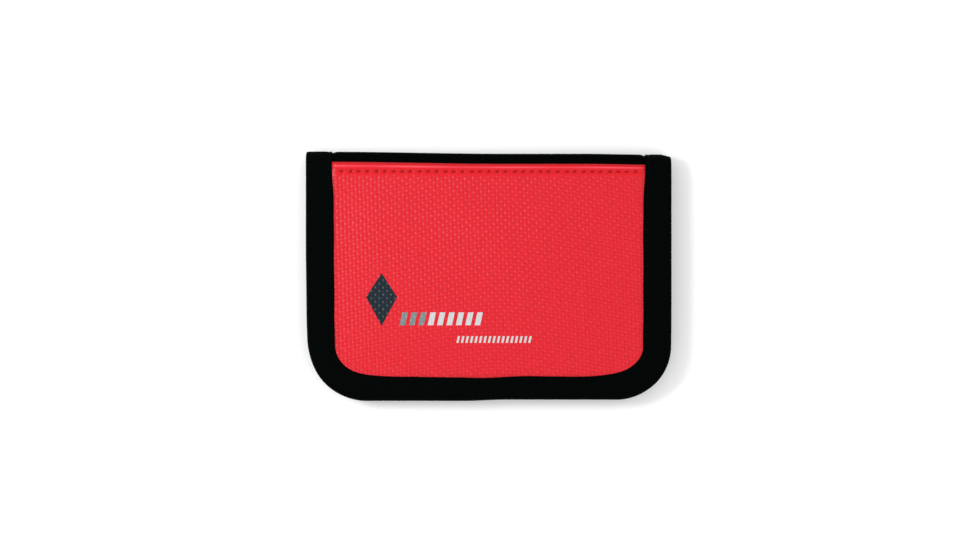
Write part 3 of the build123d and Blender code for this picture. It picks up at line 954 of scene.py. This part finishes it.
def closure_tape(leaf, node, base, top, hooks):
    """Half of the closure: a woven base with selvedges, and a field of hooks or of loops."""
    (x0, y0, _), (x1, y1, _) = box_mm(node)
    xs = np.concatenate([[x0, x0 + 0.12], np.linspace(x0 + 0.5, x1 - 0.5, 190), [x1 - 0.12, x1]])
    ys = np.concatenate([[y0, y0 + 0.12], np.linspace(y0 + 0.5, y1 - 0.5, 34), [y1 - 0.12, y1]])
    x, y = np.meshgrid(xs, ys, indexing="ij")
    edge = np.minimum.reduce([x - x0, x1 - x, y - y0, y1 - y])
    field = smooth(1.35, 1.75, edge)
    thick = 0.55
    height = thick - 0.22 * np.exp(-np.clip(edge, 0, 9) / 0.12) - 0.08 * hill(edge, 0.95, 0.25)
    rng = np.random.default_rng(11 if hooks else 12)
    if hooks:
        height = height + 0.05 * field
    else:
        fuzz = rng.normal(0, 1, x.shape)
        fuzz = (fuzz + np.roll(fuzz, 1, 0) + np.roll(fuzz, 1, 1)) / 1.8
        height = height + field * (top - base - thick - 0.22 + 0.10 * fuzz)
    outer, inner = place(leaf, x, y, base + height), place(leaf, x, y, base)
    ob = slab(node + "_cloth", outer, inner, HOOK_BASE if hooks else LOOPS)
    follow(ob, leaf, node)
    if hooks:
        parts = hook_field(leaf, x0, x1, y0, y1, base + thick, top - base - thick - 0.10, rng)
        follow(joined(node + "_hooks", parts, COIL), leaf, node)
    rows, inset, level = [], 0.95, base + thick
    for at in (y0 + inset, y1 - inset):
        rows += [sewn(leaf, c, at, level) for c in np.arange(x0 + 2.4, x1 - 2.0, STITCH)]
    for at in (x0 + inset, x1 - inset):
        rows += [sewn(leaf, at, c, level, 0.0, 0.5) for c in np.arange(y0 + 2.6, y1 - 2.0, STITCH)]
    follow(stitch_row(node + "_stitches", rows, BLACK_THREAD), leaf, node + "_thread")


# --------------------
# Inside of the front leaf: the zipped coin pocket


def inner_seam(name, y, level):
    """A seam across the front leaf's inner face."""
    rows = [sewn("front", x, y, level) for x in np.arange(-IN_X + 1.6, MOUTH_X - 7.8, STITCH)]
    return stitch_row(name, rows, BLACK_THREAD)


def coin_pocket():
    low, high = box_mm("coin_pocket_face")
    stand, mouth = TOP - low[2] - 0.8, high[1]
    ys = np.concatenate([
        leaf_rows(FREE_Y + POCKET_TUCK, mouth - 5.4, 64),
        np.linspace(mouth - 5.0, mouth - 0.2, 18),
        [mouth - 0.06, mouth],
    ])
    a, b = outline_span(ys, POCKET_TUCK)
    x = spread(a, np.minimum(b, MOUTH_X - 0.45), 130)
    step = smooth(mouth - 4.9, mouth - 4.1, ys)
    free = smooth(CLOSURE_Y + 1, CLOSURE_Y + 14, ys) * smooth(mouth, mouth - 12, ys)
    puff = 0.35 * free * across(x)
    top = stand + 0.38 + 0.36 * step + puff - 0.1 * hill(ys, mouth - 1.8, 0.45)
    top = top + free * 0.07 * np.sin(x / 6.1 + 0.5) * np.sin(ys / 5.2)
    top[:, -1] -= 0.15
    outer, inner = place("front", x, ys, top), place("front", x, ys, stand + 0.02 + puff)
    face = slab("coin_pocket_cloth", outer, inner, POCKET_CLOTH, panel_uv(outer), sharp=50)
    follow(face, "front", "coin_pocket_face")
    seam = inner_seam("coin_pocket_stitches", mouth - 1.8, stand + 0.66)
    follow(seam, "front", "coin_pocket_thread")


def zip_tape(node, side, zip_y, face):
    """One of the zip's two tapes. Its end lies flat under the binding."""
    (_, y0, _), (x1, y1, _) = box_mm(node)
    near = zip_y + side * 0.32
    far = y1 - 0.05 if side > 0 else y0 + 0.1
    s = np.array([0, 0.03, 0.12, 0.3, 0.5, 0.7, 0.78, 0.84, 0.93, 0.985, 1.0])
    ys = near + (far - near) * s
    x = spread(np.full(len(s), -IN_X - 1.3), np.full(len(s), x1 - 0.3), 180)
    level = face - 0.95 * smooth(35.6, 38.0, ys) * smooth(-IN_X - 0.2, -IN_X - 1.1, x)
    deep = face - 0.28
    if side > 0:
        level = level - 0.05 * hill(s, 0.87, 0.03)
        deep = deep - 0.72 * smooth(0.72, 0.8, s)
    level = level + 0.015 * np.sin(x / 3.1) * np.sin(ys)
    level[:, [0, -1]] -= 0.1
    outer = place("front", x, ys, level)
    inner = place("front", x, ys, np.minimum(deep, level - 0.05))
    follow(slab(node + "_cloth", outer, inner, ZIP_CLOTH, sharp=50), "front", node)


def zip_coil(node, side, zip_y, x0, x1, face, rise):
    """One of the coil's two halves: flattened turns of a thick thread."""
    pitch, steps = 1.28, 14
    turns = int((x1 - x0 - 0.4) / pitch)
    t = np.arange(turns * steps + 1) / steps
    th = t * 2 * math.pi
    shift = 0 if side > 0 else pitch / 2
    x = x0 + 0.35 + shift + t * pitch + 0.12 * np.sin(2 * th)
    y = zip_y + side * (0.92 - 0.98 * np.cos(th))
    level = face + rise / 2 + (rise / 2 - 0.33) * np.sin(th)
    path = np.stack([x, y, TOP - level], -1)
    tangent = np.gradient(path, axis=0)
    tangent /= np.linalg.norm(tangent, axis=1)[:, None]
    ref = np.array([1.0, 0, 0])
    n1 = ref - tangent * (tangent @ ref)[:, None]
    n1 /= np.linalg.norm(n1, axis=1)[:, None]
    n2 = np.cross(tangent, n1)
    ring = np.linspace(0, 2 * math.pi, 7, endpoint=False)[None, :, None]
    fat = 0.22 + 0.06 * np.clip(np.cos(th), 0, 1) ** 4
    rings = n1[:, None, :] * np.cos(ring) + n2[:, None, :] * np.sin(ring)
    rings = path[:, None, :] + fat[:, None, None] * rings
    follow(joined(node + "_turns", [tube(rings)], COIL), "front", node)


def zip_parts():
    (x0, _, _), (x1, lower_y, _) = box_mm("zip_coil_lower")
    (_, upper_y, low), (_, _, high) = box_mm("zip_coil_upper")
    zip_y, face = (lower_y + upper_y) / 2, TOP - high
    for side, half in ((1, "upper"), (-1, "lower")):
        zip_tape("zip_tape_" + half, side, zip_y, face)
        zip_coil("zip_coil_" + half, side, zip_y, x0, x1, face, high - low)
    seam = inner_seam("zip_tape_stitches", box_mm("zip_tape_upper")[1][1] - 0.8, face - 0.02)
    follow(seam, "front", "zip_tape_thread")
    # The metal parts are the CAD's own shapes with rounded edges.
    for node in ("zip_top_stops", "zip_bottom_stop", "zip_slider", "zip_pull_tab"):
        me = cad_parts[node].data.copy()
        me.materials.clear()
        me.materials.append(METAL)
        ob = bpy.data.objects.new(node + "_metal", me)
        bpy.context.collection.objects.link(ob)
        bevel = ob.modifiers.new("round", "BEVEL")
        bevel.width = 0.00022 if "stop" in node else 0.00016
        bevel.segments = 3
        bevel.limit_method = "ANGLE"
        bevel.angle_limit = math.radians(40)
        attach(ob, "zip_slider_body" if node in ("zip_slider", "zip_pull_tab") else "front_leaf")
        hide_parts(node)


# --------------------
# The printed motif: a plain dark diamond and two rows of plain bars


def printed(name, shapes, material):
    """shapes: four corners each, in the panel's plane. They lie on the panel's cover."""
    points, faces, uv, at = [], [], [], 0
    for corners in shapes:
        c = np.array(corners, float)
        n = max(3, int(max(np.linalg.norm(c[1] - c[0]), np.linalg.norm(c[2] - c[1])) / 0.45))
        s, t = np.meshgrid(np.linspace(0, 1, n), np.linspace(0, 1, n), indexing="ij")
        s, t = s[..., None], t[..., None]
        xy = c[0] * (1 - s) * (1 - t) + c[1] * s * (1 - t) + c[2] * s * t + c[3] * (1 - s) * t
        x, y = xy[..., 0], xy[..., 1]
        level = panel_level(x, y)
        both = np.concatenate([place("front", x, y, level + d).reshape(-1, 3) for d in (-0.035, 0.05)])
        points.append(both)
        faces.append(slab_faces(n, n) + at)
        uv.append(both[:, :2] / 10)
        at += len(both)
    ob = make_mesh(name, np.concatenate(points), np.concatenate(faces), material, np.concatenate(uv))
    follow(ob, "front")


def bars(x0, y0, wide, tall, gap, count):
    """A row of leaning bars."""
    made, lean = [], 0.22 * tall
    for k in range(count):
        x = x0 + k * (wide + gap)
        made.append(((x, y0), (x + wide, y0), (x + wide + lean, y0 + tall), (x + lean, y0 + tall)))
    return made


def motif():
    cx, cy = -36.5, -7.8
    diamond = [((cx, cy - 9.0), (cx + 5.3, cy + 0.8), (cx, cy + 9.0), (cx - 5.3, cy + 0.8))]
    printed("print_diamond", diamond, DARK_INK)
    row = bars(-30.4, -16.6, 1.9, 4.4, 1.3, 9)
    printed("print_bars_grey", row[:3], GREY_INK)
    printed("print_bars_pale", row[3:] + bars(-11.0, -22.6, 0.75, 2.3, 0.78, 17), PALE_INK)


# --------------------
# Build

for leaf in ("back", "front"):
    panel_cover(leaf)
    hem_stitches(leaf)
    binding_tape(leaf)
    shell_cloth(leaf)
lining_cloth("back", STACK, box_mm("card_pocket_rear")[1][1])
lining_cloth("front", HOOK_FACE, SPINE_Y)
pockets()
closure_tape("back", "loop_tape", STACK, MID, False)
closure_tape("front", "hook_tape", HOOK_FACE, MID, True)
coin_pocket()
zip_parts()
motif()

# --------------------
# Floor, light and camera

FLOOR_HALF = 14.0
LENS, SENSOR, VIEW_WIDTH = 100, 36, 0.3337


def lamp(name, at, size, power):
    """A square lamp that shines at the origin."""
    data = bpy.data.lights.new(name, "AREA")
    data.shape = "RECTANGLE"
    data.size = data.size_y = size
    data.energy = power
    ob = bpy.data.objects.new(name, data)
    ob.location = at
    ob.rotation_mode = "QUATERNION"
    ob.rotation_quaternion = (-Vector(at)).to_track_quat("-Z", "Y")
    ob.visible_camera = False
    bpy.context.collection.objects.link(ob)


def studio():
    me = bpy.data.meshes.new("floor")
    s = FLOOR_HALF
    me.from_pydata([(-s, -s, 0), (s, -s, 0), (s, s, 0), (-s, s, 0)], [], [(0, 1, 2, 3)])
    n = Nodes("floor_white")
    grain = n.noise(n.spot(), 6, 2)
    white = n.ramp(grain, (0.0, (0.91, 0.91, 0.91)), (1.0, (0.93, 0.93, 0.93)))
    me.materials.append(n.finish(white, 0.7, Specular_IOR_Level=0.1))
    floor = bpy.data.objects.new("floor", me)
    floor.location.z = -0.0002
    bpy.context.collection.objects.link(floor)
    scene = bpy.context.scene
    scene.world = bpy.data.worlds.new("studio")
    scene.world.use_nodes = True
    sky = scene.world.node_tree.nodes["Background"]
    sky.inputs[0].default_value = (1, 1, 1, 1)
    sky.inputs[1].default_value = 0.92
    lamp("key", (-0.36, 0.10, 0.42), 0.16, 1.4)
    lamp("fill", (1.0, -0.5, 1.1), 1.2, 5.0)
    scene.view_settings.view_transform = "Standard"
    cam = bpy.data.cameras.new("camera")
    cam.type = "PERSP"
    cam.lens = LENS
    cam.sensor_width = SENSOR
    cam.clip_start, cam.clip_end = 0.01, 20
    ob = bpy.data.objects.new("camera", cam)
    ob.location = (0.00014, 0.00055, TOP * 0.001 + VIEW_WIDTH / SENSOR * LENS)
    ob.rotation_euler = (0, 0, 0)
    bpy.context.collection.objects.link(ob)
    scene.camera = ob


studio()
